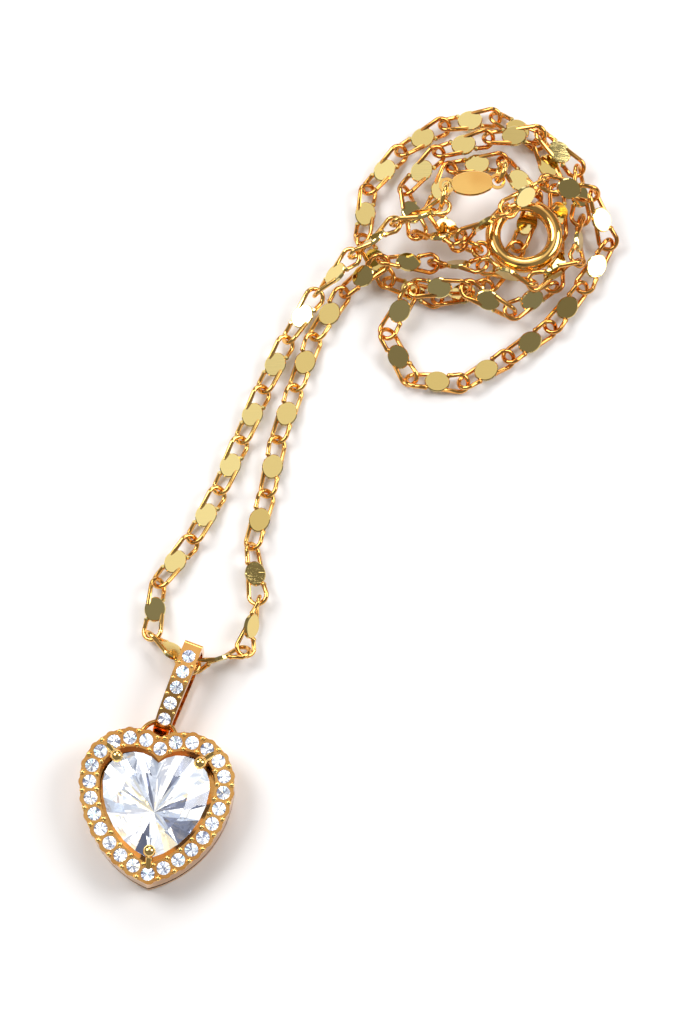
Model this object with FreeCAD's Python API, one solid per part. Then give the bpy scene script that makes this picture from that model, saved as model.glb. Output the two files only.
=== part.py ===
import FreeCAD, Part

import math
import os

from FreeCAD import Placement, Rotation, Vector

# A heart halo pendant on a flat mirror-link chain, lying on a table with the spare chain heaped beside it.
# Millimetres. +Z is up. The origin is on the table under the heart, close to its middle. +Y runs from the
# heart to the heap, +X to the right of someone who looks at the heart from its pointed end.

os.makedirs("parts", exist_ok=True)

# ---------------------------------------------------------------- driving dimensions

# Chain link: two open end loops twisted opposite ways, and a flat oval mirror plate between them
LINK_LENGTH = 5.1
LINK_WIRE = 0.34
LOOP_RADIUS = 0.70
LOOP_TILT = 35.0
PLATE_LENGTH = 1.94
PLATE_WIDTH = 1.6
PLATE_THICKNESS = 0.34
PLATE_END_RADIUS = 0.62
PLATE_BEVEL = 0.06
STRAP_ROOT = (0.2, 0.58)        # where the wire that runs along the plate's edge is soldered to it
BEAD_SPOT = (0.88, 0.52, 0.12)  # where the other wire of a loop ends in a small bead on the plate's corner
BEAD_RADIUS = 0.21
TAUT_OVERLAP = 0.21     # how far each loop's wire reaches past the pivot in the two straight strands
SLACK_OVERLAP = 0.36    # the same where the chain lies in a heap
STRAND_LINKS = 8        # hinged links on each side of the bail

# Heart head
HEART_LEAN = 5.0
HEART_SHIFT = 0.3               # how far the heart sits to the right of its hanging ring
HALO_OUTLINE = (1.93, 2.85, 3.09, 7.72, -4.2)      # lobe centre x, y, lobe radius, side radius, tip y
STONE_OUTLINE = (1.66, 2.5, 2.32, 6.1, -3.1)
HALO_OUT = 0.72                 # from the line of the halo stones to the outer and the inner wall
HALO_IN = 0.68
SCALLOP_OFFSET = 0.33           # the rounded outer edge beside each halo stone
SCALLOP_RADIUS = 0.49
GALLERY_HOLE = (1.1, 2.0, 1.75, 4.6, -2.2)      # outline of the gallery rail's opening, as above
HALO_BEAD = 0.2
HALO_TOP = 2.85
WALL_BOTTOM = 0.95
GALLERY_TOP = 0.5
HALO_STONES = 26
SMALL_STONE = 1.0      # diameter of a pave stone
STONE_GIRDLE_LOW = 3.0
STONE_GIRDLE_HIGH = 3.12
STONE_TABLE = 3.78
STONE_CULET = 0.75
PRONG_BALL = 0.48
PRONG_WIRE = 0.27
PRONG_Z = 3.45
PRONGS = ((-3.1, 4.32, 131.0), (3.1, 4.32, 49.0), (0.0, -2.6, 270.0))   # x, y, outward direction

# Hanging ring on the cleft of the heart, and the bail through it
HANG_RING_Y = 6.25
HANG_RING_Z = 1.5
HANG_RING_RADIUS = 1.34
HANG_RING_WIRE = 0.19
BAIL_LEAN = 20.8
BAIL_WIDTH = 1.42
BAIL_FOOT_WIDTH = 1.2
BAIL_STONES = ((6.42, 2.96, 0.0), (5.15, 2.99, 0.0), (3.88, 2.97, 2.0), (2.61, 2.86, 7.0), (1.42, 2.5, 31.0))

# Spring ring clasp
CLASP_CENTRE = Vector(28.3, 45.6, 2.3)
CLASP_TURN = 115.0
CLASP_RADIUS = 2.4
CLASP_TUBE = 0.6
CLASP_BORE = 0.42
BOLT_RADIUS = 0.38
GAP_ANGLE = 45.0
BOLT_ANGLE = 89.0
BOLT_REACH = 4.0
KNOB_ANGLE = 72.0
SLOT_ANGLES = (65.0, 120.0)
SPRING_ANGLES = (132.0, 290.0)
EYE_ANGLE = 275.0
EYE_STAND = 0.5

# End tag and the two rings on it
TAG_CENTRE = Vector(24.3, 49.4, 3.55)
TAG_TURN = 5.0
TAG_LENGTH = 3.3
TAG_WIDTH = 2.0
TAG_THICKNESS = 0.3
TAG_EYE_RADIUS = 0.62
RING_WIRE = 0.2
LOOP_HOLE = 0.3         # from a pivot into the hole of the link's own loop
END_RING_REACH = Vector(0.55, 1.4, 0.5)
END_RING_SPIN = 20.0

# How the chain settles
CLEARANCE = 0.09        # spare room between links that pass each other
FLOOR_CLEARANCE = 0.06
SHARPEST_BEND = 57.0    # degrees between one link and the next
MOST_TWIST = 40.0
TIGHT_TURN = 40.0
TIGHT_TWIST = 20.0
SETTLE_STEPS = 400
HEAP_GROUP = 8          # links in each node of the heap

# Route of the chain, as the pivots between links for the two strands and the way it lies for the heap.
# x, y, z, and how far a link there has rolled about its own length, in degrees (180 is flat again).
LEFT_STRAND = (
    (22.3, 47.6, 3.5, 50), (18.9, 45.8, 3.3, 60), (14.8, 45.0, 2.6, 60), (12.3, 41.7, 1.3, 20),
    (10.1, 38.2, 0.7, 0), (8.3, 34.2, 0.6, 0), (6.7, 30.0, 0.6, 0), (5.2, 25.8, 0.6, 0),
    (3.9, 21.6, 0.6, 0), (2.4, 17.6, 0.7, 0), (0.1, 14.2, 1.0, -25),
)
BAIL_PIVOT = (3.06, 11.4, 1.3, -60)
RIGHT_STRAND = (
    (6.6, 13.5, 1.0, -100), (7.2, 17.4, 0.8, -145), (7.8, 21.3, 0.6, -180), (8.5, 25.5, 0.6, -180),
    (9.5, 29.6, 0.6, -180), (10.7, 33.7, 0.6, -180), (12.1, 37.6, 0.7, -180), (14.1, 41.0, 1.3, -180),
)
HEAP = (
    (16.9, 43.3, 2.2, -180), (20.1, 44.4, 3.0, -200), (24.0, 43.4, 3.6, -270), (28.5, 41.5, 3.2, -340),
    (32.0, 42.5, 2.4, -360), (33.2, 46.6, 1.9, -360), (33.0, 50.5, 1.9, -360), (31.3, 54.0, 1.9, -360),
    (27.3, 55.0, 1.9, -360), (23.5, 53.4, 1.9, -360), (20.0, 50.4, 1.9, -360), (17.4, 47.4, 2.0, -370),
    (19.8, 45.4, 2.4, -410), (23.4, 45.5, 2.6, -460), (26.7, 47.1, 3.2, -510), (29.4, 49.3, 3.2, -540),
    (32.4, 50.6, 2.6, -540), (35.0, 49.0, 1.2, -540), (34.6, 45.2, 0.6, -540), (32.8, 41.6, 0.6, -540),
    (30.6, 38.2, 0.6, -540), (27.8, 36.0, 0.6, -540), (24.3, 36.1, 0.6, -540), (20.3, 36.9, 0.7, -540),
    (16.5, 38.1, 0.9, -545), (14.2, 41.0, 1.5, -550), (17.4, 41.2, 2.2, -580), (20.6, 39.6, 2.5, -620),
    (24.6, 39.6, 2.4, -660), (28.4, 39.2, 1.9, -700), (30.6, 42.4, 0.8, -720), (31.2, 46.4, 0.6, -720),
    (31.4, 50.3, 0.6, -720), (29.8, 54.0, 0.6, -720), (26.2, 55.8, 0.6, -720), (22.2, 55.2, 0.6, -720),
    (18.8, 53.0, 0.6, -720), (16.2, 49.8, 0.6, -720), (15.8, 45.8, 0.6, -720), (17.6, 42.4, 0.6, -720),
    (21.2, 40.8, 0.6, -720), (25.2, 40.8, 0.6, -720), (28.0, 43.6, 0.6, -720), (28.4, 47.6, 0.6, -720),
    (26.6, 51.2, 0.6, -720), (22.7, 52.0, 0.6, -720), (19.4, 49.4, 0.6, -720), (19.0, 45.2, 0.6, -720),
    (23.5, 44.9, 2.3, -720),
)

UP = Vector(0, 0, 1)


# ---------------------------------------------------------------- small helpers

def save(name, shapes):
    """Writes one node: a solid, or a group of separate solids."""
    shapes = list(shapes)
    shape = shapes[0] if len(shapes) == 1 else Part.makeCompound(shapes)
    shape.exportStep(os.path.join("parts", name + ".step"))


def biggest(shape):
    """The largest solid of a shape, without the crumbs that a cut may leave."""
    return max(shape.Solids, key=lambda solid: solid.Volume)


def turned(shape, angle, axis=UP, about=Vector(0, 0, 0)):
    """A copy of a shape, turned about a line."""
    copy = shape.copy()
    copy.rotate(about, axis, angle)
    return copy


def rod(start, end, radius):
    """A round bar between two points."""
    return Part.makeCylinder(radius, (end - start).Length, start, end - start)


def polar(radius, angle):
    """A point in the XY plane."""
    return Vector(radius * math.cos(math.radians(angle)), radius * math.sin(math.radians(angle)), 0)


def torus_arc(ring_radius, tube_radius, start, end):
    """Part of a ring in the XY plane, between two angles in degrees."""
    arc = Part.makeTorus(ring_radius, tube_radius, Vector(), UP, 0, 360, end - start)
    return turned(arc, start)


# ---------------------------------------------------------------- chain link

def oval_wire(length, width, end_radius):
    """An oval of four tangent arcs, round the origin."""
    half, side = length / 2, width / 2
    end = half - end_radius
    drop = (end * end - (side - end_radius) ** 2) / (2 * (side - end_radius))
    lean = math.atan2(drop, end)
    corner = Vector(end + end_radius * math.cos(lean), end_radius * math.sin(lean), 0)
    spots = []
    for sx, sy in ((1, 1), (-1, 1), (-1, -1), (1, -1)):
        spots.append(Vector(sx * corner.x, sy * corner.y, 0))
    middles = (Vector(0, side, 0), Vector(-half, 0, 0), Vector(0, -side, 0), Vector(half, 0, 0))
    arcs = []
    for i, middle in enumerate(middles):
        arcs.append(Part.Arc(spots[i], middle, spots[(i + 1) % 4]).toShape())
    return Part.Wire(arcs)


def plate(length, width, thickness, end_radius, bevel):
    """A flat oval plate with bevelled edges, centred on the origin."""
    face = Part.Face(oval_wire(length, width, end_radius))
    slab = face.extrude(Vector(0, 0, thickness))
    slab.translate(Vector(0, 0, -thickness / 2))
    rims = [edge for edge in slab.Edges if abs(edge.BoundBox.ZLength) < thickness / 10]
    return slab.makeChamfer(bevel, rims)


def octagon(radius, height=0.0):
    """Corners of an octagon in the XY plane, with the area of a circle of the given radius."""
    return [polar(radius * 1.054, 45 * n + 22.5) + UP * height for n in range(8)]


def octagon_bar(start, end, radius):
    """A bar between two points, of the chain's eight-sided drawn wire."""
    corners = octagon(radius)
    bar = Part.Face(Part.makePolygon(corners + corners[:1])).extrude(UP * (end - start).Length)
    bar.Placement = Placement(start, Rotation(UP, end - start))
    return bar


def octagon_ball(radius, centre):
    """A bead with eight sides, to cover a joint in the chain's wire."""
    rings = []
    for latitude in (-67.5, -22.5, 22.5, 67.5):
        flat, rise = polar(radius * 1.03, latitude)[:2]
        rings.append([centre + corner for corner in octagon(flat, rise)])
    faces = [rings[0], rings[3]]
    for low, high in zip(rings, rings[1:]):
        for n in range(8):
            m = (n + 1) % 8
            faces.append([low[n], low[m], high[m], high[n]])
    shell = Part.Shell([Part.Face(Part.makePolygon(face + face[:1])) for face in faces])
    ball = Part.Solid(shell)
    return ball if ball.Volume > 0 else ball.reversed()


def half_loop(end, radius, wire):
    """Half a ring of the chain's wire in the XY plane, open towards the middle of the link."""
    corners = [Vector(radius + corner.x, 0, corner.y) for corner in octagon(wire)]
    loop = Part.Face(Part.makePolygon(corners + corners[:1])).revolve(Vector(), UP, 180)
    return turned(loop, -90 * end)


def make_link():
    """One link along X, its plate facing Z."""
    wire = LINK_WIRE / 2
    reach = (LINK_LENGTH - LINK_WIRE) / 2 - LOOP_RADIUS
    across = LOOP_RADIUS * math.cos(math.radians(LOOP_TILT))
    rise = LOOP_RADIUS * math.sin(math.radians(LOOP_TILT))
    pieces = []
    for end in (1, -1):
        loop = half_loop(end, LOOP_RADIUS, wire)
        loop.rotate(Vector(), Vector(1, 0, 0), LOOP_TILT * end)
        loop.translate(Vector(end * reach, 0, 0))
        pieces.append(loop)
        for side in (1, -1):
            shoulder = Vector(end * reach, side * across, end * side * rise)
            if side == end:
                root = Vector(end * STRAP_ROOT[0], side * STRAP_ROOT[1], 0)
            else:
                root = Vector(end * BEAD_SPOT[0], side * BEAD_SPOT[1], end * side * BEAD_SPOT[2])
                pieces.append(octagon_ball(BEAD_RADIUS, root))
            pieces.append(octagon_bar(root, shoulder + (shoulder - root).normalize() * 0.05, wire))
    body = plate(PLATE_LENGTH, PLATE_WIDTH, PLATE_THICKNESS, PLATE_END_RADIUS, PLATE_BEVEL)
    return biggest(body.multiFuse(pieces))


# ---------------------------------------------------------------- how the chain lies

def link_girth(roll):
    """Half the width and half the height that a link takes up once it has rolled by an angle."""
    half_plate = PLATE_WIDTH / 2
    half_wire = LINK_WIRE / 2
    width = half_plate * abs(math.cos(math.radians(roll)))
    height = half_plate * abs(math.sin(math.radians(roll)))
    for tilt in (LOOP_TILT, -LOOP_TILT):
        width = max(width, LOOP_RADIUS * abs(math.cos(math.radians(roll + tilt))) + half_wire)
        height = max(height, LOOP_RADIUS * abs(math.sin(math.radians(roll + tilt))) + half_wire)
    return width, height


def nearest(p, q, r, s):
    """The closest points of two line segments, as fractions along each and the vector between them."""
    d1 = (q[0] - p[0], q[1] - p[1], q[2] - p[2])
    d2 = (s[0] - r[0], s[1] - r[1], s[2] - r[2])
    w = (p[0] - r[0], p[1] - r[1], p[2] - r[2])
    a = d1[0] * d1[0] + d1[1] * d1[1] + d1[2] * d1[2]
    b = d1[0] * d2[0] + d1[1] * d2[1] + d1[2] * d2[2]
    c = d2[0] * d2[0] + d2[1] * d2[1] + d2[2] * d2[2]
    d = d1[0] * w[0] + d1[1] * w[1] + d1[2] * w[2]
    e = d2[0] * w[0] + d2[1] * w[1] + d2[2] * w[2]
    det = a * c - b * b
    t = 0.5 if det < 1e-9 * a * c else min(1.0, max(0.0, (b * e - c * d) / det))
    u = min(1.0, max(0.0, (b * t + e) / c))
    t = min(1.0, max(0.0, (b * u - d) / a))
    gap = tuple(w[i] + t * d1[i] - u * d2[i] for i in range(3))
    return t, u, gap


def push(points, holds, i, j, t, u, move):
    """Moves two segments apart, each point in proportion to its share and to how freely it moves."""
    for index, share, sign in ((i, 1 - t, 1), (i + 1, t, 1), (j, 1 - u, -1), (j + 1, u, -1)):
        free = 0.5 * sign * share * holds[index]
        for axis in range(3):
            points[index][axis] += free * move[axis]


def separate(points, holds, girths, pairs, still):
    """Pushes crossing links apart, upwards where they cross and sideways where they lie side by side."""
    for i, j in pairs:
        t, u, gap = nearest(points[i], points[i + 1], points[j], points[j + 1])
        wide = girths[i][0] + girths[j][0] + CLEARANCE
        high = girths[i][1] + girths[j][1] + CLEARANCE
        size = math.sqrt((gap[0] ** 2 + gap[1] ** 2) / wide ** 2 + gap[2] ** 2 / high ** 2)
        if size < 1.0:
            grow = 1.0 / max(size, 0.05) - 1.0
            push(points, holds, i, j, t, u, [grow * g for g in gap])
    for i, (start, end, reach) in still:
        t, u, gap = nearest(points[i], points[i + 1], start, end)
        wide = girths[i][0] + reach[0] + CLEARANCE
        high = girths[i][1] + reach[1] + CLEARANCE
        size = math.sqrt((gap[0] ** 2 + gap[1] ** 2) / wide ** 2 + gap[2] ** 2 / high ** 2)
        if size < 1.0:
            grow = 1.0 / max(size, 0.05) - 1.0
            for index, share in ((i, 1 - t), (i + 1, t)):
                for axis in range(3):
                    points[index][axis] += share * holds[index] * grow * gap[axis]


def keep_lengths(points, holds, lengths):
    """Gives each link its own length again, and stops a pivot from folding up."""
    for k, length in enumerate(lengths):
        a, b = points[k], points[k + 1]
        gap = [b[axis] - a[axis] for axis in range(3)]
        now = math.sqrt(sum(g * g for g in gap))
        total = holds[k] + holds[k + 1]
        for axis in range(3):
            move = (now - length) / now * gap[axis] / total
            a[axis] += move * holds[k]
            b[axis] -= move * holds[k + 1]
    for k in range(len(points) - 2):
        a, b = points[k], points[k + 2]
        gap = [b[axis] - a[axis] for axis in range(3)]
        now = math.sqrt(sum(g * g for g in gap))
        least = (lengths[k] + lengths[k + 1]) * math.cos(math.radians(SHARPEST_BEND / 2))
        if now < least:
            total = holds[k] + holds[k + 2]
            for axis in range(3):
                move = 0.5 * (least - now) / now * gap[axis] / total
                a[axis] -= move * holds[k]
                b[axis] += move * holds[k + 2]


def near_pairs(points, reach):
    """Pairs of links, not neighbours, whose middles are close enough to matter."""
    middles = [[(a[i] + b[i]) / 2 for i in range(3)] for a, b in zip(points, points[1:])]
    found = []
    for i in range(len(middles)):
        for j in range(i + 2, len(middles)):
            if math.dist(middles[i], middles[j]) < reach:
                found.append((i, j))
    return found, middles


def near_still(middles, obstacles, reach):
    """Links close to a fixed piece in the heap, other than the chain's own last links at each end."""
    found = []
    for i, middle in list(enumerate(middles))[1:-1]:
        for obstacle in obstacles:
            centre = [(obstacle[0][axis] + obstacle[1][axis]) / 2 for axis in range(3)]
            if math.dist(middle, centre) < reach:
                found.append((i, obstacle))
    return found


def settle(points, home, holds, lengths, girths, obstacles):
    """Lays the chain down: equal links, none through another, none below the table, as low as they go."""
    for step in range(SETTLE_STEPS):
        if step % 10 == 0:
            pairs, middles = near_pairs(points, 2 * LINK_LENGTH)
            still = near_still(middles, obstacles, 2 * LINK_LENGTH)
        late = step > SETTLE_STEPS * 0.8
        for k, point in enumerate(points):
            pull = 0.0 if late else 0.03
            point[0] += pull * (home[k][0] - point[0])
            point[1] += pull * (home[k][1] - point[1])
            point[2] += pull * (home[k][2] - point[2]) * 0.3 - (0.0 if late else 0.01 * holds[k])
        for _ in range(3 if late else 1):
            separate(points, holds, girths, pairs, still)
            keep_lengths(points, holds, lengths)
        for k, point in enumerate(points):
            touching = [girths[link][1] for link in (k - 1, k) if 0 <= link < len(girths)]
            point[2] = max(point[2], max(touching) + FLOOR_CLEARANCE)
    return points


def walk(route, lengths):
    """Points along a route of straight runs, spaced by the lengths given, until it ends."""
    spots = [list(route[0])]
    run = 0
    for length in lengths:
        here = spots[-1][:3]
        while run + 1 < len(route) and math.dist(here, route[run + 1][:3]) < length:
            run += 1
        if run + 1 == len(route):
            break
        a, b = route[run], route[run + 1]
        low, high = 0.0, 1.0
        for _ in range(30):
            t = (low + high) / 2
            spot = [a[axis] + t * (b[axis] - a[axis]) for axis in range(4)]
            if math.dist(here, spot[:3]) < length:
                low = t
            else:
                high = t
        spots.append(spot)
    return spots


def clasp_obstacles():
    """The clasp as short straight stretches of its tube, and the end tag as a bar."""
    stretches = []
    for n in range(12):
        a = CLASP_CENTRE + polar(CLASP_RADIUS, 30 * n)
        b = CLASP_CENTRE + polar(CLASP_RADIUS, 30 * (n + 1))
        stretches.append((tuple(a), tuple(b), (CLASP_TUBE, CLASP_TUBE)))
    eye_way = polar(1, CLASP_TURN - EYE_ANGLE)
    eye = CLASP_CENTRE + eye_way * (CLASP_RADIUS + CLASP_TUBE + EYE_STAND)
    stretches.append((tuple(eye - eye_way * 0.4), tuple(eye + eye_way * 0.3), (0.7, 0.5)))
    stretches.append((tuple(eye), HEAP[-1][:3], (0.35, 1.1)))
    half = Vector(TAG_LENGTH / 2 - TAG_WIDTH / 2, 0, 0)
    stretches.append((tuple(TAG_CENTRE - half), tuple(TAG_CENTRE + half), (TAG_WIDTH / 2, 0.3)))
    return stretches


def rolled_face(along, roll):
    """Which way a plate faces on a link that points along a direction and has rolled by an angle."""
    up = (UP - along * UP.dot(along)).normalize()
    return Rotation(along, roll).multVec(up)


def ease_rolls(points, rolls, start):
    """Keeps the twist between neighbours to what their loops allow, and to less where the chain turns."""
    eased = list(rolls)
    for k in range(start, len(rolls)):
        before = (Vector(*points[k]) - Vector(*points[k - 1])).normalize()
        after = (Vector(*points[k + 1]) - Vector(*points[k])).normalize()
        carried = Rotation(before, after).multVec(rolled_face(before, eased[k - 1]))
        face = rolled_face(after, eased[k])
        twist = math.degrees(math.atan2(after.dot(carried.cross(face)), carried.dot(face)))
        twist = (twist + 90) % 180 - 90
        most = MOST_TWIST if math.degrees(before.getAngle(after)) < TIGHT_TURN else TIGHT_TWIST
        eased[k] += max(-most, min(most / 4, twist)) - twist
    return eased


def lay_chain():
    """Pivot points of the whole chain, from the tag through the bail to the clasp, and each link's roll."""
    taut = LINK_LENGTH - LINK_WIRE - 2 * TAUT_OVERLAP
    slack = LINK_LENGTH - LINK_WIRE - 2 * SLACK_OVERLAP
    strands = [list(p) for p in LEFT_STRAND + (BAIL_PIVOT,) + RIGHT_STRAND]
    heap = walk([strands[-1]] + [list(p) for p in HEAP], [slack] * 200)[1:]
    heap[-1] = list(HEAP[-1])
    marks = strands + heap
    left, both = len(LEFT_STRAND), len(strands)
    lengths = []
    for k in range(len(marks) - 1):
        straight = left - STRAND_LINKS <= k < left - 2 or left + 2 <= k < both - 1
        lengths.append(taut if straight else slack)
    rolls = [(a[3] + b[3]) / 2 for a, b in zip(marks, marks[1:])]
    home = [p[:3] for p in marks]
    rolls = ease_rolls(home, rolls, both)
    holds = [1.0] * len(marks)
    for k in (0, left - 1, left, left + 1, len(marks) - 1):
        holds[k] = 0.02
    for k in range(left - STRAND_LINKS, both - 1):
        holds[k] = min(holds[k], 0.3)
    points = [list(p) for p in home]
    for _ in range(2):
        girths = [link_girth(roll) for roll in rolls]
        points = settle(points, home, holds, lengths, girths, clasp_obstacles())
        rolls = ease_rolls(points, rolls, both)
    return [Vector(*p) for p in points], rolls


def place_link(link, start, end, roll):
    """A copy of the link between two pivots, rolled about its length."""
    along = (end - start).normalize()
    face = rolled_face(along, roll)
    copy = link.copy()
    copy.Placement = Placement((start + end) / 2, Rotation(along, face.cross(along), face, "XZY"))
    return copy


# ---------------------------------------------------------------- heart head

def heart_marks(outline, offset):
    """The right half of a heart outline: lobe centre, side centre, cleft, where the arcs meet, and tip."""
    lobe_x, lobe_y, lobe_r, side_r, tip = outline
    lobe = Vector(lobe_x, lobe_y, 0)
    gap = side_r - lobe_r
    to_tip = Vector(0, tip, 0) - lobe
    span = to_tip.Length
    along = (gap ** 2 - side_r ** 2 + span ** 2) / (2 * span)
    across = math.sqrt(gap ** 2 - along ** 2)
    to_tip.normalize()
    side = lobe + to_tip * along + Vector(to_tip.y, -to_tip.x, 0) * across
    cleft = Vector(0, lobe_y + math.sqrt((lobe_r + offset) ** 2 - lobe_x ** 2), 0)
    meet = lobe + (lobe - side) * ((lobe_r + offset) / gap)
    point = Vector(0, side.y - math.sqrt((side_r + offset) ** 2 - side.x ** 2), 0)
    return lobe, side, cleft, meet, point


def angle_of(centre, point):
    """Direction from a centre to a point, in degrees."""
    return math.degrees(math.atan2(point.y - centre.y, point.x - centre.x))


def heart_wire(outline, offset):
    """A closed heart outline of four arcs, in the XY plane."""
    lobe, side, cleft, meet, point = heart_marks(outline, offset)
    radius = outline[2] + offset
    top = lobe + polar(radius, (angle_of(lobe, cleft) + angle_of(lobe, meet)) / 2)
    flank = side + polar(outline[3] + offset, (angle_of(side, meet) + angle_of(side, point)) / 2)
    flip = [Vector(-v.x, v.y, 0) for v in (top, meet, flank)]
    arcs = [
        Part.Arc(cleft, top, meet), Part.Arc(meet, flank, point),
        Part.Arc(point, flip[2], flip[1]), Part.Arc(flip[1], flip[0], cleft),
    ]
    return Part.Wire([arc.toShape() for arc in arcs])


def heart_band(outside, inside, low, high):
    """A heart-shaped wall between two offsets of the halo line and two heights."""
    outer = Part.Face(heart_wire(HALO_OUTLINE, outside)).extrude(Vector(0, 0, high - low))
    inner = Part.Face(heart_wire(HALO_OUTLINE, -inside)).extrude(Vector(0, 0, high - low))
    band = outer.cut(inner)
    band.translate(Vector(0, 0, low))
    return band


def halo_point(part_way, offset=0.0):
    """A point on the right half of the halo line, from 0 at the cleft to 1 at the tip."""
    lobe, side, cleft, meet, point = heart_marks(HALO_OUTLINE, 0.0)
    lobe_r, side_r = HALO_OUTLINE[2], HALO_OUTLINE[3]
    first, last = angle_of(lobe, cleft), angle_of(lobe, meet)
    third, fourth = angle_of(side, meet), angle_of(side, point)
    lobe_run = math.radians(first - last) * lobe_r
    side_run = math.radians(third - fourth) * side_r
    here = part_way * (lobe_run + side_run)
    if here < lobe_run:
        return lobe + polar(lobe_r + offset, first - math.degrees(here / lobe_r))
    return side + polar(side_r + offset, third - math.degrees((here - lobe_run) / side_r))


def halo_line(steps, offset=0.0):
    """Points right round the halo. steps are counted along the right half, 0 at the cleft."""
    half = HALO_STONES / 2
    points = []
    for step in steps:
        spot = halo_point(step / half, offset)
        points.append(spot)
        if 0 < step < half:
            points.append(Vector(-spot.x, spot.y, 0))
    return points


def stone_profile(radius):
    """Outline of a round stone in the XZ plane, its girdle's top edge at z = 0."""
    return [Vector(0, 0, -0.52), Vector(radius, 0, -0.06), Vector(radius, 0, 0),
            Vector(radius * 0.58, 0, 0.15), Vector(0, 0, 0.15)]


def seat_profile(radius):
    """Outline of the drilled seat under a round stone, with the hole that lets light in from behind."""
    return [Vector(0, 0, -3.0), Vector(0.24, 0, -3.0), Vector(0.24, 0, -0.62),
            Vector(radius, 0, -0.1), Vector(radius, 0, 0.5), Vector(0, 0, 0.5)]


def lathe(profile):
    """A solid turned about Z from a closed outline in the XZ plane."""
    return Part.Face(Part.makePolygon(profile + profile[:1])).revolve(Vector(), UP, 360)


def bead(radius, centre, normal=UP):
    """Half a ball standing on a face, as a stone setter raises it."""
    return Part.makeSphere(radius, centre, normal, 0, 90, 360)


def heart_stone():
    """The heart-cut centre stone: pavilion, girdle, crown and flat table."""
    outline = heart_wire(STONE_OUTLINE, 0.0)
    spots = []
    for edge, count in zip(outline.Edges, (8, 6, 6, 8)):
        spots += edge.discretize(count + 1)[:-1]
    focus = Vector(0, 0.5, 0)
    sections = []
    for scale, z in ((0.03, STONE_CULET), (1.0, STONE_GIRDLE_LOW), (1.0, STONE_GIRDLE_HIGH),
                     (0.6, STONE_TABLE)):
        ring = [focus + (spot - focus) * scale + Vector(0, 0, z) for spot in spots]
        sections.append(Part.makePolygon(ring + ring[:1]))
    return Part.makeLoft(sections, True, True).Solids[0]


def make_prong(x, y, outward, neighbours):
    """One claw: a ball over the girdle, an arm to the wall and a post down to the gallery rail."""
    ball = Vector(x, y, PRONG_Z)
    away = polar(1, outward)
    shoulder = ball + away * 0.42 - Vector(0, 0, 0.35)
    foot = Vector(shoulder.x, shoulder.y, GALLERY_TOP + 0.15) - away * 0.1
    wall = shoulder + away * 0.85 - Vector(0, 0, 0.5)
    claw = Part.makeSphere(PRONG_BALL, ball).multiFuse([
        rod(ball, shoulder, PRONG_WIRE), rod(foot, shoulder, PRONG_WIRE),
        Part.makeSphere(PRONG_WIRE * 1.02, shoulder), rod(shoulder, wall, PRONG_WIRE),
    ])
    return biggest(claw.cut(neighbours))


def make_heart():
    """The heart's nodes in their own frame, before the heart is turned to where it lies."""
    frame = heart_band(HALO_OUT, HALO_IN, WALL_BOTTOM, HALO_TOP)
    posts = []
    for spot in halo_line((0, 3, 6.2, 9, 11.6, 13)):
        foot = spot + Vector(0, 0, GALLERY_TOP)
        posts.append(Part.makeCylinder(0.3, WALL_BOTTOM - GALLERY_TOP + 0.2, foot))
    scallops = []
    for spot in halo_line(range(HALO_STONES // 2 + 1), SCALLOP_OFFSET):
        scallops.append(Part.makeCylinder(SCALLOP_RADIUS, 0.5, spot + Vector(0, 0, HALO_TOP - 0.5)))
    frame = frame.multiFuse(posts + scallops)
    seats = []
    stones = []
    for spot in halo_line(range(HALO_STONES // 2 + 1)):
        seat = lathe(seat_profile(SMALL_STONE / 2 + 0.015))
        seat.translate(spot + Vector(0, 0, HALO_TOP - 0.03))
        seats.append(seat)
        stone = lathe(stone_profile(SMALL_STONE / 2))
        stone.translate(spot + Vector(0, 0, HALO_TOP - 0.03))
        stones.append(stone)
    frame = biggest(frame.cut(Part.makeCompound(seats)))
    beads = []
    for offset in (0.56, -0.54):
        for spot in halo_line([n + 0.5 for n in range(HALO_STONES // 2)], offset):
            beads.append(bead(HALO_BEAD, spot + Vector(0, 0, HALO_TOP)))
    centre = heart_stone()
    neighbours = [centre, frame] + stones + beads
    prongs = [make_prong(x, y, outward, neighbours) for x, y, outward in PRONGS]
    opening = Part.Face(heart_wire(GALLERY_HOLE, 0.0))
    rail = Part.Face(heart_wire(HALO_OUTLINE, HALO_OUT - 0.02)).cut(opening)
    gallery = biggest(rail.extrude(Vector(0, 0, GALLERY_TOP)))
    ring = torus_arc(HANG_RING_RADIUS, HANG_RING_WIRE, -35, 215)
    ring.translate(Vector(-HEART_SHIFT, HANG_RING_Y, HANG_RING_Z))
    ring = biggest(ring.cut(frame))
    return {
        "heart_frame": [frame], "gallery_rail": [gallery], "prongs": prongs, "centre_stone": [centre],
        "halo_stones": stones, "halo_beads": beads, "hanging_ring": [ring],
    }


# ---------------------------------------------------------------- bail

def bail_loop(points):
    """A closed outline of lines and arcs: each entry is an end point and, for an arc, its middle."""
    edges = []
    here = points[-1][0]
    for end, middle in points:
        a, b = Vector(here[0], 0, here[1]), Vector(end[0], 0, end[1])
        if middle is None:
            edges.append(Part.LineSegment(a, b).toShape())
        else:
            edges.append(Part.Arc(a, Vector(middle[0], 0, middle[1]), b).toShape())
        here = end
    return Part.Face(Part.Wire(edges))


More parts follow.
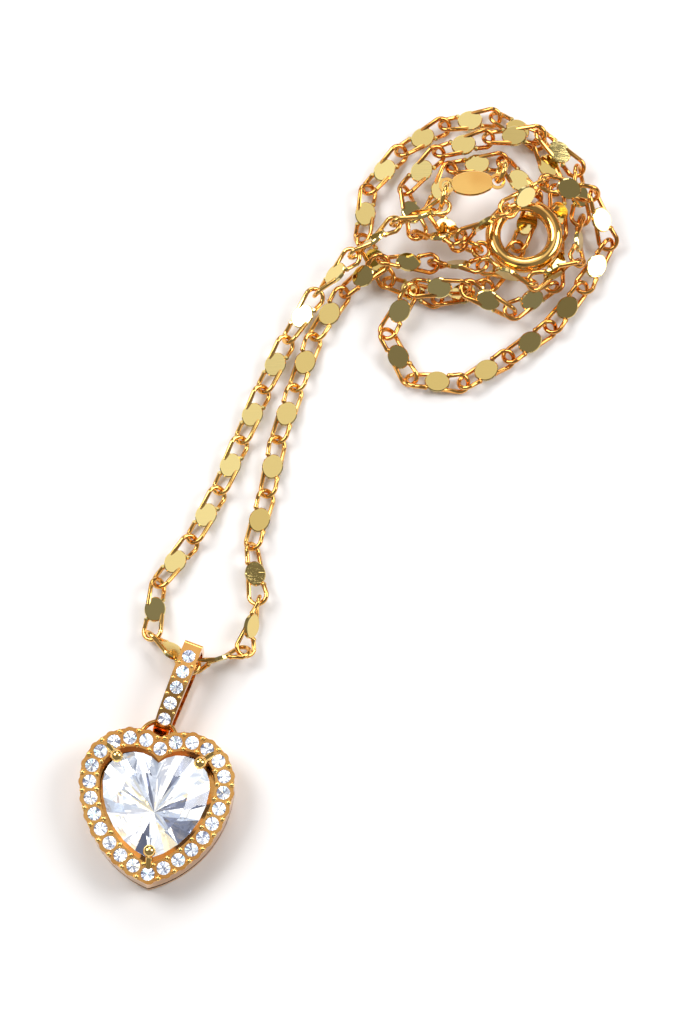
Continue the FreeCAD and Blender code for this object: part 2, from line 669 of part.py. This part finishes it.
def make_bail():
    """The bail in its own frame: X up its length from the hanging ring's centre, Z up, Y across."""
    outer = bail_loop((
        ((6.8, 0.0), None), ((7.59, 0.8), (7.37, 0.23)), ((7.59, 2.62), None), ((7.27, 2.93), (7.5, 2.84)),
        ((2.2, 2.8), (4.7, 3.02)), ((0.36, 1.2), (0.82, 2.2)), ((1.2, 0.0), (0.57, 0.33)),
    ))
    inner = bail_loop((
        ((6.72, 0.36), None), ((7.25, 0.9), (7.1, 0.52)), ((7.25, 2.0), None), ((7.0, 2.24), (7.18, 2.17)),
        ((2.2, 2.18), (4.6, 2.3)), ((0.74, 1.2), (1.14, 1.86)), ((1.4, 0.36), (0.88, 0.6)),
    ))
    strip = outer.cut(inner).extrude(Vector(0, BAIL_WIDTH, 0))
    strip.translate(Vector(0, -BAIL_WIDTH / 2, 0))
    foot, head = BAIL_FOOT_WIDTH / 2, BAIL_WIDTH / 2
    taper = [Vector(0, -foot, -1), Vector(5, -head, -1), Vector(8, -head, -1),
             Vector(8, head, -1), Vector(5, head, -1), Vector(0, foot, -1)]
    strip = strip.common(Part.Face(Part.makePolygon(taper + taper[:1])).extrude(Vector(0, 0, 6)))
    stones, beads, seats = [], [], []
    for along, height, lean in BAIL_STONES:
        spot = Placement(Vector(along, 0, height - 0.03), Rotation(Vector(0, 1, 0), -lean))
        for made, shape in ((stones, lathe(stone_profile(SMALL_STONE / 2 - 0.02))),
                            (seats, lathe(seat_profile(SMALL_STONE / 2 - 0.005)))):
            shape.Placement = spot
            made.append(shape)
    strip = biggest(strip.cut(Part.makeCompound(seats)))
    for a, b in zip(BAIL_STONES, BAIL_STONES[1:]):
        lean = Rotation(Vector(0, 1, 0), -(a[2] + b[2]) / 2)
        for side in (-1, 1):
            middle = Vector((a[0] + b[0]) / 2, side * (BAIL_FOOT_WIDTH / 2 - 0.1), (a[1] + b[1]) / 2)
            beads.append(bead(0.15, middle, lean.multVec(UP)).cut(strip))
    return {"bail": [strip], "bail_stones": stones, "bail_beads": [biggest(b) for b in beads]}


# ---------------------------------------------------------------- clasp and tag

def make_clasp():
    """The spring ring in its own frame, its gap next to the +X axis on the clockwise side."""
    body = torus_arc(CLASP_RADIUS, CLASP_TUBE, -360, -GAP_ANGLE)
    bore = Part.makeTorus(CLASP_RADIUS, CLASP_BORE)
    body = body.cut(bore)
    slot_low, slot_high = SLOT_ANGLES
    slot = torus_arc(CLASP_RADIUS + 0.5, 0.26, -slot_high, -slot_low)
    body = biggest(body.cut(slot))
    bolt = torus_arc(CLASP_RADIUS, BOLT_RADIUS, BOLT_REACH - BOLT_ANGLE, BOLT_REACH)
    stem = rod(polar(CLASP_RADIUS, -KNOB_ANGLE), polar(CLASP_RADIUS + 1.0, -KNOB_ANGLE), 0.15)
    thumb = Part.makeCylinder(0.32, 0.3, polar(CLASP_RADIUS + 0.8, -KNOB_ANGLE), polar(1, -KNOB_ANGLE))
    bolt = biggest(bolt.multiFuse([stem, thumb]))
    spring_low, spring_high = SPRING_ANGLES
    spring = torus_arc(CLASP_RADIUS, 0.36, -spring_high, -spring_low)
    spring = biggest(spring.cut(Part.makeTorus(CLASP_RADIUS, 0.24)))
    eye = Part.makeTorus(0.62, 0.2, polar(CLASP_RADIUS + CLASP_TUBE + EYE_STAND, -EYE_ANGLE))
    eye = biggest(eye.cut(Part.makeTorus(CLASP_RADIUS, CLASP_TUBE)))
    return {"clasp_body": [body], "clasp_bolt": [bolt], "clasp_spring": [spring], "clasp_eye": [eye]}


def make_tag():
    """The end tag along X: a plain oval plate with an eye at each end."""
    tag = plate(TAG_LENGTH, TAG_WIDTH, TAG_THICKNESS, 0.8, 0.08)
    eyes = []
    holes = []
    for end in (-1, 1):
        centre = Vector(end * (TAG_LENGTH / 2 + 0.3), 0, 0)
        eyes.append(Part.makeCylinder(TAG_EYE_RADIUS, TAG_THICKNESS * 0.8, centre - UP * TAG_THICKNESS * 0.4))
        holes.append(Part.makeCylinder(TAG_EYE_RADIUS - 0.22, 2, centre - UP))
    return biggest(tag.multiFuse(eyes).cut(Part.makeCompound(holes)))


def ring_through(a, b, spin=0.0):
    """A closed jump ring whose wire runs through two points, upright or turned about the line between."""
    across = b - a
    radius = across.Length / 2
    along = Vector(across).normalize()
    up = (UP - along * UP.dot(along)).normalize()
    up = Rotation(along, spin).multVec(up)
    ring = Part.makeTorus(radius, RING_WIRE, Vector(), UP)
    ring.Placement = Placement((a + b) / 2, Rotation(along, up, along.cross(up), "XYZ"))
    return ring


def make_rings(pivots, eye_of_clasp, at_tag):
    """The jump ring at each end of the chain and the open-hand ring that hangs on the end tag."""
    first, second = pivots[0], pivots[1]
    last, before = pivots[-1], pivots[-2]
    eye = TAG_LENGTH / 2 + 0.3
    left_eye, right_eye = at_tag.multVec(Vector(-eye, 0, 0)), at_tag.multVec(Vector(eye, 0, 0))
    in_first = first + (second - first).normalize() * LOOP_HOLE
    in_last = last + (before - last).normalize() * LOOP_HOLE
    return {
        "tag_ring": [ring_through(in_first, left_eye)],
        "clasp_ring": [ring_through(in_last, eye_of_clasp)],
        "end_ring": [ring_through(right_eye, right_eye + END_RING_REACH, END_RING_SPIN)],
    }


def main():
    placed = {}
    lean = Rotation(UP, -HEART_LEAN)
    at_heart = Placement(lean.multVec(Vector(HEART_SHIFT, 0, 0)), lean)
    for name, shapes in make_heart().items():
        placed[name] = [moved(shape, at_heart) for shape in shapes]
    ring_centre = at_heart.multVec(Vector(-HEART_SHIFT, HANG_RING_Y, 0))
    at_bail = Placement(ring_centre, Rotation(UP, 90 - BAIL_LEAN))
    for name, shapes in make_bail().items():
        placed[name] = [moved(shape, at_bail) for shape in shapes]
    at_clasp = Placement(CLASP_CENTRE, Rotation(UP, CLASP_TURN))
    for name, shapes in make_clasp().items():
        placed[name] = [moved(shape, at_clasp) for shape in shapes]
    at_tag = Placement(TAG_CENTRE, Rotation(UP, TAG_TURN))
    placed["end_tag"] = [moved(make_tag(), at_tag)]

    pivots, rolls = lay_chain()
    clasp_eye = at_clasp.multVec(polar(CLASP_RADIUS + CLASP_TUBE + EYE_STAND, -EYE_ANGLE))
    placed.update(make_rings(pivots, clasp_eye, at_tag))
    link = make_link()
    links = [place_link(link, a, b, roll) for a, b, roll in zip(pivots, pivots[1:], rolls)]
    first = len(LEFT_STRAND)
    for n in range(STRAND_LINKS):
        placed["left_link_%d" % (n + 1)] = [links[first - 1 - n]]
        placed["right_link_%d" % (n + 1)] = [links[first + n]]
    placed["tag_end_links"] = links[:first - STRAND_LINKS]
    heap = links[first + STRAND_LINKS:]
    for n in range(0, len(heap), HEAP_GROUP):
        placed["heap_links_%02d" % (n // HEAP_GROUP + 1)] = heap[n:n + HEAP_GROUP]
    for name, shapes in placed.items():
        save(name, shapes)


def moved(shape, placement):
    """A copy of a shape, moved as a whole."""
    copy = shape.copy()
    copy.Placement = placement.multiply(copy.Placement)
    return copy


if __name__ == "__main__":
    main()
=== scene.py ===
import math

import bmesh
import bpy
import numpy as np
from mathutils import Matrix, Vector


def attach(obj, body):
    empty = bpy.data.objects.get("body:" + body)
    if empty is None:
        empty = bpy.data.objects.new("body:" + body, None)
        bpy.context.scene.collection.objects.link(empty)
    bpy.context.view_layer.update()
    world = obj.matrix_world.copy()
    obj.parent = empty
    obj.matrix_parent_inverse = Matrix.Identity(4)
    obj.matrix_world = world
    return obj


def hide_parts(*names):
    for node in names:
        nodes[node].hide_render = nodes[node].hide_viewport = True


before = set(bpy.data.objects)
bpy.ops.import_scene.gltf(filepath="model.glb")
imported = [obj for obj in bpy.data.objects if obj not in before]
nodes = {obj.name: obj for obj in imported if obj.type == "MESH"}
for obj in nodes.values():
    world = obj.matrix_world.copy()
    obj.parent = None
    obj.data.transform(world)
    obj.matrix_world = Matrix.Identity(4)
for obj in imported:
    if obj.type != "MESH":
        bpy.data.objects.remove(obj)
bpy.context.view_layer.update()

# A heart pendant on a mirror-link chain, laid on a white table. Metres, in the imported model's frame.
MM = 0.001

# ---------------------------------------------------------------- camera and studio

CAMERA_ELEVATION = 75.0
LENS = 150.0
SENSOR = 36.0
CLIP = (0.01, 10.0)
VIEW_HEIGHT = 78.0 * MM
VIEW_CENTRE = Vector((14.25, 24.2, 0.0)) * MM

FLOOR_SIZE = 1.6
FLOOR_DROP = 0.03 * MM
FLOOR_COLOR = (0.93, 0.915, 0.91)

FLOOR_ROUGHNESS = 0.65
FLOOR_SHEEN = 0.2

SKY = 0.26                  # brightness of the room between its lights
HORIZON = 0.2
SKY_STARTS = 0.75           # height on the unit sphere where the horizon has faded into the sky
ROOM_TINT = (1.0, 0.985, 0.97, 1.0)
# azimuth, elevation, inner and outer angle of each patch of the room in degrees, and its brightness
ROOM_PATCHES = (
    (0, 66, 6, 20, 1.0),
    (-60, 62, 6, 16, 0.7),
    (180, 74, 5, 10, 0.01),
)
# azimuth, elevation, distance, size and power of each lamp
LAMPS = {
    "key": (-65, 50, 0.5, 0.26, 1.5),
    "fill": (80, 42, 0.5, 0.26, 1.3),
    "back": (5, 38, 0.5, 0.22, 0.7),
}

# ---------------------------------------------------------------- looks

GOLD = (0.92, 0.56, 0.17)
GOLD_DEEP = (0.80, 0.42, 0.11)
# painted shade: the heap's wire gold is darker and redder than the strands' gold, standing in for the shade
# between its crowded links
HEAP_SHADED_GOLD = (0.86, 0.45, 0.12)
HEAP_SHADED_DEEP = (0.70, 0.30, 0.07)
# painted shade: the setting's gold is darker and redder than the chain's, standing in for the shade in the
# frame's walls and hollows
FRAME_SHADED_GOLD = (0.86, 0.47, 0.14)
FRAME_SHADED_DEEP = (0.72, 0.34, 0.09)
BEAD_GOLD = (0.96, 0.66, 0.24)
BEAD_DEEP = (0.92, 0.58, 0.18)
# painted reflection: the plates' base colour runs from a pale gold to a khaki gold, partly the gold itself
# and partly standing in for what each plate mirrors
PLATE_BRIGHT_REFLECTION = (0.93, 0.76, 0.32)
PLATE_DIM_REFLECTION = (0.68, 0.50, 0.17)
PLATE_HALF = (0.985 * MM, 0.81 * MM, 0.18 * MM)     # half a link plate's length, width and thickness
# painted reflection: how far from the bright to the dim reflection gold the plates of each strand are
# tinted, lowest and highest
PLATE_REFLECTION_RANGE = {"left": (0.0, 0.35), "right": (0.55, 1.0), "heap": (0.0, 1.0), "tag": (0.0, 0.6)}

# polished metal: how fine its colour drift, its smears and its two sets of hairlines are
DRIFT_SCALE = 260.0
SMEAR_SCALE = 900.0
HAIRLINES = (
    ((0.3, 0.2, 0.7), (1.0, 14.0, 3.0), 700.0),
    ((0.1, 0.4, 2.1), (1.0, 18.0, 2.0), 520.0),
)
SCRATCH_DEPTH = 0.02 * MM
WIRE_SPLIT = 50             # degrees: sharper edges than this stay sharp
BEAD_SPLIT = 60
WELD_REACH = 1e-7

# cut stones: the share of the width that the table takes, and of the radius that the girdle is thick
STONE_IOR = 1.9
ROUND_TABLE = 0.56
HEART_TABLE = 0.62
ROUND_GIRDLE = 0.08
ROUND_SIDES = 16
STAR = 0.55                 # how far the star facets reach from the table to the rim, and how proud they end
STAR_RISE = 1.08
LOWER = 0.77                # the same for the lower facets on the way to the culet
KEEL_DROP = 0.97
FIRST_TURN = 11             # degrees that the first small stone is turned, and from one to the next
# painted light: the stones' inner facets glow though they are no lamp
TURN_STEP = 37
INNER_GLOW = 0.55
INNER_ROUGHNESS = 0.04
GLINT_SEED = 7
# painted glints: the colour each inner facet mirrors and glows with, from painted highlights to painted
# shade, and how many of them get it
GLINTS = (
    ((1.0, 1.0, 1.0), 9), ((0.80, 0.84, 0.90), 4), ((0.50, 0.54, 0.62), 4),
    ((0.16, 0.18, 0.26), 4), ((0.70, 0.95, 0.98), 1), ((1.0, 0.90, 0.66), 1),
)


# ---------------------------------------------------------------- node helpers

class Tree:
    """Builds a node tree: one call adds a node, sets its inputs and returns it."""

    def __init__(self, owner):
        owner.use_nodes = True
        self.tree = owner.node_tree
        self.tree.nodes.clear()

    def add(self, kind, props=None, **inputs):
        node = self.tree.nodes.new(kind)
        for key, value in (props or {}).items():
            setattr(node, key, value)
        for key, value in inputs.items():
            socket = node.inputs[int(key[1:])] if key[0] == "i" and key[1:].isdigit() \
                else node.inputs[key.replace("_", " ")]
            if isinstance(value, bpy.types.NodeSocket):
                self.tree.links.new(value, socket)
            else:
                socket.default_value = value
        return node

    def math(self, operation, a, b):
        return self.add("ShaderNodeMath", {"operation": operation}, i0=a, i1=b).outputs[0]

    def ramp(self, value, low, high, to_low=0.0, to_high=1.0):
        return self.add("ShaderNodeMapRange", {"interpolation_type": "SMOOTHSTEP"}, Value=value,
                        From_Min=low, From_Max=high, To_Min=to_low, To_Max=to_high).outputs[0]

    def mix(self, factor, a, b):
        node = self.add("ShaderNodeMix", {"data_type": "RGBA"}, i0=factor)
        for socket, value in ((node.inputs[6], a), (node.inputs[7], b)):
            if isinstance(value, bpy.types.NodeSocket):
                self.tree.links.new(value, socket)
            else:
                socket.default_value = (*value, 1.0)
        return node.outputs[2]


def principled(name, color, **inputs):
    """A material with one Principled shader, and the tree to add to it."""
    material = bpy.data.materials.new(name)
    tree = Tree(material)
    shader = tree.add("ShaderNodeBsdfPrincipled", **inputs)
    if isinstance(color, tuple):
        shader.inputs["Base Color"].default_value = (*color, 1.0)
    tree.add("ShaderNodeOutputMaterial", Surface=shader.outputs[0])
    return material, tree, shader


def polished_metal(name, color, deep, roughness, scratch, told_by=None):
    """Polished plated metal with hairlines. Its colour drifts, or a mesh attribute tells it."""
    material, tree, shader = principled(name, color, Metallic=1.0)
    place = tree.add("ShaderNodeTexCoord").outputs["Object"]
    if told_by:
        share = tree.add("ShaderNodeAttribute", {"attribute_name": told_by}).outputs["Fac"]
    else:
        drift = tree.add("ShaderNodeTexNoise", Vector=place, Scale=DRIFT_SCALE, Detail=2.0).outputs[0]
        share = tree.ramp(drift, 0.35, 0.7)
    tone = tree.mix(share, color, deep)
    tree.tree.links.new(tone, shader.inputs["Base Color"])
    smear = tree.add("ShaderNodeTexNoise", Vector=place, Scale=SMEAR_SCALE, Detail=3.0,
                     Roughness=0.6).outputs[0]
    tree.tree.links.new(tree.ramp(smear, 0.3, 0.75, roughness * 0.55, roughness * 1.6),
                        shader.inputs["Roughness"])
    hairs = []
    for turn, stretch, scale in HAIRLINES:
        drawn = tree.add("ShaderNodeMapping", Vector=place, Rotation=turn, Scale=stretch).outputs[0]
        hairs.append(tree.add("ShaderNodeTexNoise", Vector=drawn, Scale=scale, Detail=4.0).outputs[0])
    height = tree.math("ADD", *hairs)
    bump = tree.add("ShaderNodeBump", Strength=scratch, Distance=SCRATCH_DEPTH, Height=height)
    tree.tree.links.new(bump.outputs[0], shader.inputs["Normal"])
    return material


def stone_skin():
    """The crown and girdle of a cut stone."""
    return principled("clear_stone", (1.0, 1.0, 1.0), Roughness=0.0, IOR=STONE_IOR,
                      Transmission_Weight=1.0)[0]


def stone_glowing_pavilion():
    """The inner side of a cut stone's pavilion: a mirror that also glows with painted glints, standing in
    for the light a real pavilion sends back up. The mesh says how much.
    """
    material, tree, shader = principled("stone_inner_painted_glints", None, Metallic=1.0,
                                        Roughness=INNER_ROUGHNESS)
    glint = tree.add("ShaderNodeAttribute", {"attribute_name": "glint"}).outputs["Color"]
    tree.tree.links.new(glint, shader.inputs["Base Color"])
    tree.tree.links.new(glint, shader.inputs["Emission Color"])
    shader.inputs["Emission Strength"].default_value = INNER_GLOW
    return material


# ---------------------------------------------------------------- mesh helpers

def make_object(name, verts, faces, materials, body):
    """A new piece from vertices and faces, riding on a body."""
    mesh = bpy.data.meshes.new(name)
    mesh.from_pydata([tuple(v) for v in verts], [], faces)
    mesh.update()
    for material in materials:
        mesh.materials.append(material)
    made = bpy.data.objects.new(name, mesh)
    bpy.context.scene.collection.objects.link(made)
    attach(made, body)
    return made


def islands(node):
    """The separate solids of a CAD node: its corner points, and which solid each belongs to."""
    mesh = nodes[node].data
    points = np.empty(len(mesh.vertices) * 3)
    mesh.vertices.foreach_get("co", points)
    points = points.reshape(-1, 3)
    edges = np.empty(len(mesh.edges) * 2, int)
    mesh.edges.foreach_get("vertices", edges)
    edges = edges.reshape(-1, 2)
    same = np.unique(np.round(points * 1e7).astype(np.int64), axis=0, return_inverse=True)[1].ravel()
    ends = same[edges]
    labels = np.arange(same.max() + 1)
    while True:
        low = np.minimum(labels[ends[:, 0]], labels[ends[:, 1]])
        spread = labels.copy()
        np.minimum.at(spread, ends[:, 0], low)
        np.minimum.at(spread, ends[:, 1], low)
        spread = spread[spread]
        if np.array_equal(spread, labels):
            break
        labels = spread
    return points, np.unique(labels[same], return_inverse=True)[1].ravel()


def solids(node):
    """The corner points of each solid of a CAD node."""
    points, owner = islands(node)
    return [points[owner == n] for n in range(owner.max() + 1)]


def brilliant(rim, focus, table, crown, girdle, depth):
    """Vertices and faces of a brilliant cut over a rim of points, an even number of them.

    Heights are from the girdle's top edge. The main facets meet the rim at its even points."""
    count = len(rim)
    half = count // 2
    rim = [Vector((p[0], p[1], 0.0)) for p in rim]
    focus = Vector((focus[0], focus[1], 0.0))
    verts, faces = [], []

    def put(points):
        verts.extend(points)
        return list(range(len(verts) - len(points), len(verts)))

    up = Vector((0, 0, 1))
    top = put([focus + (rim[2 * n] - focus) * table + up * crown for n in range(half)])
    reach = table + (1 - table) * STAR
    rise = up * crown * (1 - STAR) * STAR_RISE
    mid = put([focus + (rim[2 * n + 1] - focus) * reach + rise for n in range(half)])
    high = put(rim)
    low = put([p - up * girdle for p in rim])
    drop = up * (girdle + (depth - girdle) * LOWER * KEEL_DROP)
    keel = put([focus + (rim[2 * n + 1] - focus) * (1 - LOWER) - drop for n in range(half)])
    culet = put([focus - up * depth])[0]
    faces.append(top)
    for n in range(half):
        m = (n + 1) % half
        a, b, c = 2 * n, 2 * n + 1, (2 * n + 2) % count
        faces += [[top[n], mid[n], top[m]],
                  [top[n], mid[n - 1], high[a], mid[n]],
                  [high[a], high[b], mid[n]], [high[b], high[c], mid[n]],
                  [low[a], low[b], high[b], high[a]], [low[b], low[c], high[c], high[b]],
                  [low[b], low[a], keel[n]], [low[c], low[b], keel[n]],
                  [culet, keel[n], low[a], keel[n - 1]]]
    inner = [min(verts[i].z for i in face) < -girdle * 1.001 for face in faces]
    return verts, faces, inner


def cut_stones(name, cuts, body, skin, heart):
    """One piece of cut stones, each inner facet with a painted glint of its own."""
    verts, faces, inner = [], [], []
    for cut_verts, cut_faces, cut_inner in cuts:
        faces += [[index + len(verts) for index in face] for face in cut_faces]
        verts += cut_verts
        inner += cut_inner
    made = make_object(name, verts, faces, (skin, heart), body)
    mesh = made.data
    mesh.polygons.foreach_set("material_index", [int(flag) for flag in inner])
    palette = [color for color, share in GLINTS for _ in range(share)]
    glint = mesh.color_attributes.new("glint", "FLOAT_COLOR", "CORNER")
    picks = np.random.default_rng(GLINT_SEED).integers(len(palette), size=len(mesh.polygons))
    for face, pick in zip(mesh.polygons, picks):
        for loop in face.loop_indices:
            glint.data[loop].color = (*palette[pick], 1.0)
    return made


def place(verts, origin, axis):
    """The vertices moved to an origin, with local Z along an axis."""
    turn = Vector((0, 0, 1)).rotation_difference(axis).to_matrix().to_4x4()
    matrix = Matrix.Translation(origin) @ turn
    return [matrix @ v for v in verts]


# ---------------------------------------------------------------- stage

def make_floor():
    half = FLOOR_SIZE / 2
    mesh = bpy.data.meshes.new("table_top")
    corners = ((-half, -half), (half, -half), (half, half), (-half, half))
    mesh.from_pydata([(x, y, -FLOOR_DROP) for x, y in corners], [], [(0, 1, 2, 3)])
    mesh.materials.append(principled("white_table", FLOOR_COLOR, Roughness=FLOOR_ROUGHNESS,
                                     Specular_IOR_Level=FLOOR_SHEEN)[0])
    floor = bpy.data.objects.new("table_top", mesh)
    bpy.context.scene.collection.objects.link(floor)


def direction(azimuth, elevation):
    """A unit vector: azimuth 0 is +Y and 90 is +X."""
    a, e = math.radians(azimuth), math.radians(elevation)
    return Vector((math.sin(a) * math.cos(e), math.cos(a) * math.cos(e), math.sin(e)))


def make_room():
    """A plain studio: a grey room that lightens towards the horizon, with soft lights as round patches."""
    world = bpy.data.worlds.new("studio")
    bpy.context.scene.world = world
    tree = Tree(world)
    way = tree.add("ShaderNodeTexCoord").outputs["Generated"]
    rise = tree.add("ShaderNodeSeparateXYZ", Vector=way).outputs["Z"]
    level = tree.ramp(rise, 0.0, SKY_STARTS, HORIZON, SKY)
    for azimuth, elevation, inner, outer, bright in ROOM_PATCHES:
        dot = tree.add("ShaderNodeVectorMath", {"operation": "DOT_PRODUCT"}, i0=way,
                       i1=direction(azimuth, elevation)).outputs["Value"]
        share = tree.ramp(dot, math.cos(math.radians(outer)), math.cos(math.radians(inner)))
        keep = tree.math("MULTIPLY", level, tree.math("SUBTRACT", 1.0, share))
        level = tree.math("ADD", keep, tree.math("MULTIPLY", share, bright))
    light = tree.add("ShaderNodeBackground", Strength=level)
    light.inputs["Color"].default_value = ROOM_TINT
    tree.add("ShaderNodeOutputWorld", Surface=light.outputs[0])


def make_light(name, azimuth, elevation, distance, size, power):
    data = bpy.data.lights.new(name, "AREA")
    data.shape = "SQUARE"
    data.size = size
    data.energy = power
    lamp = bpy.data.objects.new(name, data)
    lamp.location = VIEW_CENTRE + direction(azimuth, elevation) * distance
    lamp.rotation_mode = "QUATERNION"
    lamp.rotation_quaternion = (VIEW_CENTRE - lamp.location).to_track_quat("-Z", "Y")
    bpy.context.scene.collection.objects.link(lamp)


def make_camera():
    data = bpy.data.cameras.new("camera")
    data.lens = LENS
    data.sensor_width = SENSOR
    data.clip_start, data.clip_end = CLIP
    camera = bpy.data.objects.new("camera", data)
    distance = VIEW_HEIGHT * LENS / SENSOR
    back = direction(180, CAMERA_ELEVATION)
    camera.location = VIEW_CENTRE + back * distance
    camera.rotation_mode = "QUATERNION"
    camera.rotation_quaternion = (-back).to_track_quat("-Z", "Y")
    bpy.context.scene.collection.objects.link(camera)
    bpy.context.scene.camera = camera


# ---------------------------------------------------------------- metal

def dress(node, material, split=None):
    """Gives a CAD node its material, and rounds its shading where the split angle is given."""
    piece = nodes[node]
    piece.data.materials.clear()
    piece.data.materials.append(material)
    for face in piece.data.polygons:
        face.material_index = 0
    if split is not None:
        if "custom_normal" in piece.data.attributes:
            piece.data.attributes.remove(piece.data.attributes["custom_normal"])
        piece.data.shade_smooth()
        weld = piece.modifiers.new("weld", "WELD")
        weld.merge_threshold = WELD_REACH
        edges = piece.modifiers.new("edges", "EDGE_SPLIT")
        edges.split_angle = math.radians(split)


def dress_links(node, wire, plate):
    """Gives the links of a CAD node their wire finish, and their plates the finish of a mirror with a
    painted reflection: one tint per link between a bright and a dim gold.
    """
    dress(node, wire, WIRE_SPLIT)
    mesh = nodes[node].data
    mesh.materials.append(plate)
    points, owner = islands(node)
    local = np.empty_like(points)
    for n in range(owner.max() + 1):
        mine = owner == n
        spread = points[mine] - points[mine].mean(0)
        turn = np.linalg.eigh(spread.T @ spread)[1]
        local[mine] = spread @ turn
    corners = np.empty(len(mesh.polygons) * 3, int)
    mesh.polygons.foreach_get("vertices", corners)
    spots = np.abs(local[corners].reshape(-1, 3, 3))
    on_plate = (spots[:, :, 0].max(1) < PLATE_HALF[2]) & (spots[:, :, 1].max(1) < PLATE_HALF[1]) \
        & (spots[:, :, 2].max(1) < PLATE_HALF[0])
    mesh.polygons.foreach_set("material_index", on_plate.astype(np.int32))
    mesh.polygons.foreach_set("use_smooth", ~on_plate)
    # painted reflection: each link's plates get one tint between the bright and the dim reflection gold, as
    # if each plate mirrored something different
    low, high = PLATE_REFLECTION_RANGE[node.split("_")[0]]
    picks = np.random.default_rng(sum(node.encode())).uniform(low, high, owner.max() + 1)
    plate_reflection_tint = mesh.attributes.new("plate_reflection_tint", "FLOAT", "FACE")
    plate_reflection_tint.data.foreach_set("value", picks[owner[corners.reshape(-1, 3)[:, 0]]].astype(np.float32))


def dress_metal():
    # painted shade: the setting gets a darker, redder gold than the chain
    setting = polished_metal("setting_painted_shade_gold", FRAME_SHADED_GOLD, FRAME_SHADED_DEEP, 0.10, 0.08)
    bright = polished_metal("clasp_gold", GOLD, GOLD_DEEP, 0.07, 0.05)
    wire = polished_metal("chain_wire_gold", GOLD, GOLD_DEEP, 0.08, 0.05)
    # painted shade: the heap's wires get a darker, redder gold than the strands
    deep = polished_metal("heap_wire_painted_shade_gold", HEAP_SHADED_GOLD, HEAP_SHADED_DEEP, 0.07, 0.05)
    beads = polished_metal("bead_gold", BEAD_GOLD, BEAD_DEEP, 0.08, 0.03)
    # painted reflection: the plate gold is tinted per link by a mesh attribute
    plate = polished_metal("chain_plate_painted_reflection", PLATE_BRIGHT_REFLECTION, PLATE_DIM_REFLECTION, 0.03, 0.06, "plate_reflection_tint")
    steel = polished_metal("spring_steel", (0.62, 0.6, 0.57), (0.5, 0.48, 0.45), 0.2, 0.1)
    for node in nodes:
        if "link" in node:
            dress_links(node, deep if node.startswith("heap") else wire, plate)
        elif node == "clasp_spring":
            dress(node, steel)
        elif node.startswith("clasp") or node in ("end_ring", "end_tag", "tag_ring"):
            dress(node, bright)
        elif node in ("halo_beads", "bail_beads", "prongs"):
            dress(node, beads, BEAD_SPLIT)
        elif node not in ("centre_stone", "halo_stones", "bail_stones"):
            dress(node, setting)


# ---------------------------------------------------------------- stones

def make_round_stones(node, name, body, skin, heart):
    """Replaces each round stone of a CAD node by a brilliant of the same size in the same seat."""
    cuts = []
    for number, points in enumerate(solids(node)):
        centre = points.mean(0)
        spread = points - centre
        axis = Vector(np.linalg.eigh(spread.T @ spread)[1][:, 0])
        if axis.z < 0:
            axis.negate()
        along = spread @ np.array(axis)
        around = np.linalg.norm(spread - np.outer(along, np.array(axis)), axis=1)
        radius = around.max()
        girdle_top = along[around > radius * 0.98].max()
        turn = math.radians(FIRST_TURN + TURN_STEP * number)
        ways = [turn + 2 * math.pi * n / ROUND_SIDES for n in range(ROUND_SIDES)]
        rim = [(radius * math.cos(way), radius * math.sin(way)) for way in ways]
        verts, faces, inner = brilliant(rim, (0, 0), ROUND_TABLE, along.max() - girdle_top,
                                        radius * ROUND_GIRDLE, girdle_top - along.min())
        cuts.append((place(verts, Vector(centre) + axis * girdle_top, axis), faces, inner))
    made = cut_stones(name, cuts, body, skin, heart)
    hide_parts(node)


def make_heart_stone(skin, heart):
    """Replaces the plain centre stone by a heart brilliant on the same girdle."""
    points = np.unique(np.round(solids("centre_stone")[0], 7), axis=0)
    top, bottom = points[:, 2].max(), points[:, 2].min()
    focus = points[points[:, 2] < bottom + 1e-6][:, :2].mean(0)
    reach = np.linalg.norm(points[:, :2] - focus, axis=1)
    girdle = points[reach > reach.max() * 0.99][:, 2]
    girdle_low, girdle_high = girdle.min(), girdle.max()
    rim = points[np.abs(points[:, 2] - girdle_high) < 2e-6][:, :2]
    rim = rim[np.argsort(np.arctan2(rim[:, 1] - focus[1], rim[:, 0] - focus[0]))]
    verts, faces, inner = brilliant([tuple(p) for p in rim], tuple(focus), HEART_TABLE, top - girdle_high,
                                    girdle_high - girdle_low, girdle_high - bottom)
    verts = [v + Vector((0, 0, girdle_high)) for v in verts]
    made = cut_stones("heart_stone", [(verts, faces, inner)], "heart", skin, heart)
    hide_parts("centre_stone")


# ---------------------------------------------------------------- build

make_room()
make_floor()
for lamp_name, lamp in LAMPS.items():
    make_light(lamp_name, *lamp)
make_camera()
dress_metal()
crown, pavilion = stone_skin(), stone_glowing_pavilion()
make_round_stones("halo_stones", "halo_brilliants", "heart", crown, pavilion)
make_round_stones("bail_stones", "bail_brilliants", "bail", crown, pavilion)
make_heart_stone(crown, pavilion)
bpy.context.scene.view_settings.view_transform = "Standard"
